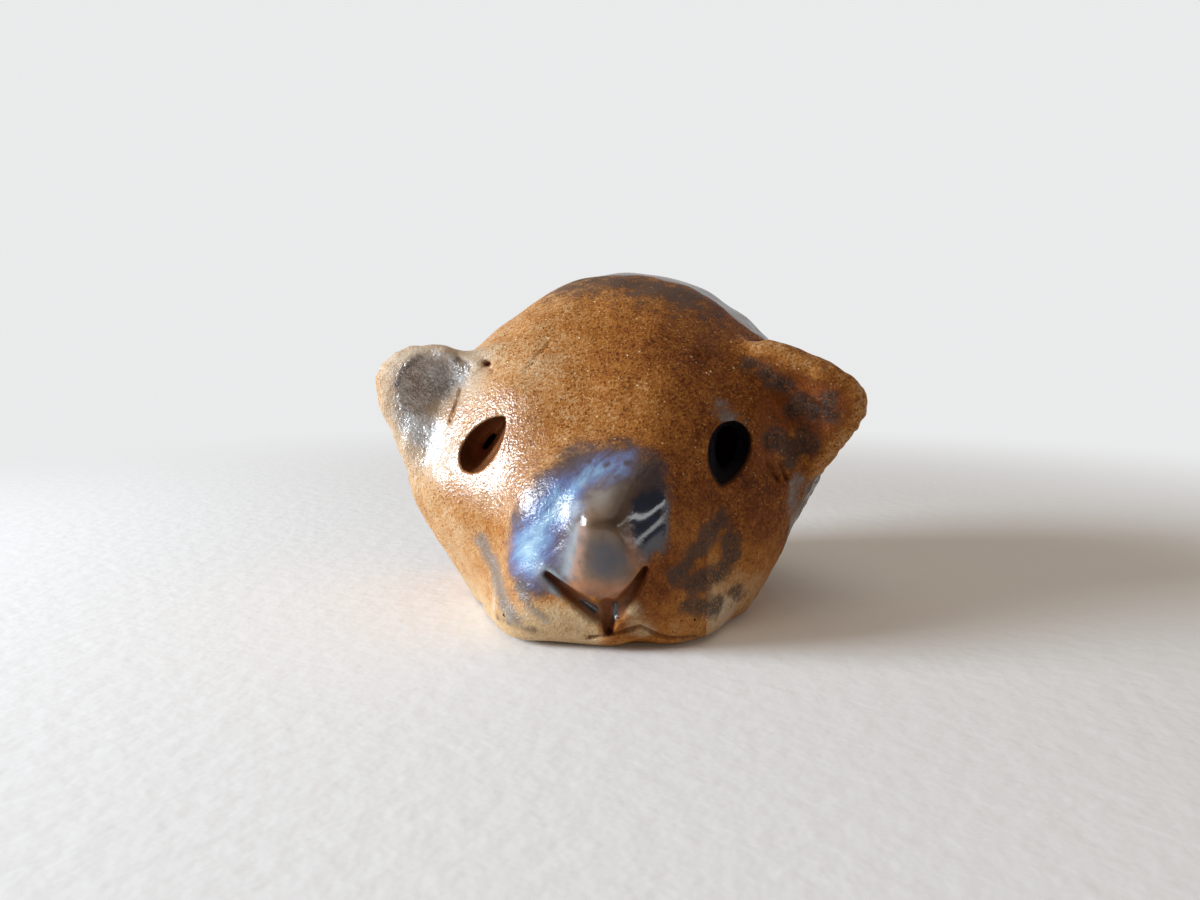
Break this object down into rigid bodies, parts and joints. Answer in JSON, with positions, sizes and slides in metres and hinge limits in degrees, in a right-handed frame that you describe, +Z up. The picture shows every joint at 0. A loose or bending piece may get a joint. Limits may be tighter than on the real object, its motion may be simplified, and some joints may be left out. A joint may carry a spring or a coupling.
{
  "type": "hedgehog figurine",
  "caption": "Small hollow stoneware hedgehog ornament with pierced eyes, pressed ears, a blue-glazed snout and a foot coil, standing free on a table.",
  "frame": {"origin": "on the table, under the middle of the figurine's outline", "axes": "+Z up; the face looks along -Y; +X to the animal's own left"},
  "size_m": [0.0408, 0.0396, 0.0282],
  "materials": {
    "stained_clay": "iron-stained stoneware, grainy and half matt",
    "dark_glaze": "dark brown gloss glaze",
    "pale_clay": "bare cream-brown stoneware, matt",
    "blue_glaze": "pooled opalescent blue glaze over stained clay",
    "grey_glaze": "thin grey glaze that breaks brown on edges"
  },
  "bodies": {
    "root": {"face_half": "stained_clay", "back_half": "dark_glaze", "foot_coil": "pale_clay", "snout_pad": "blue_glaze", "nose_tip": "grey_glaze", "right_ear": "stained_clay", "left_ear": "stained_clay"}
  },
  "joints": []
}
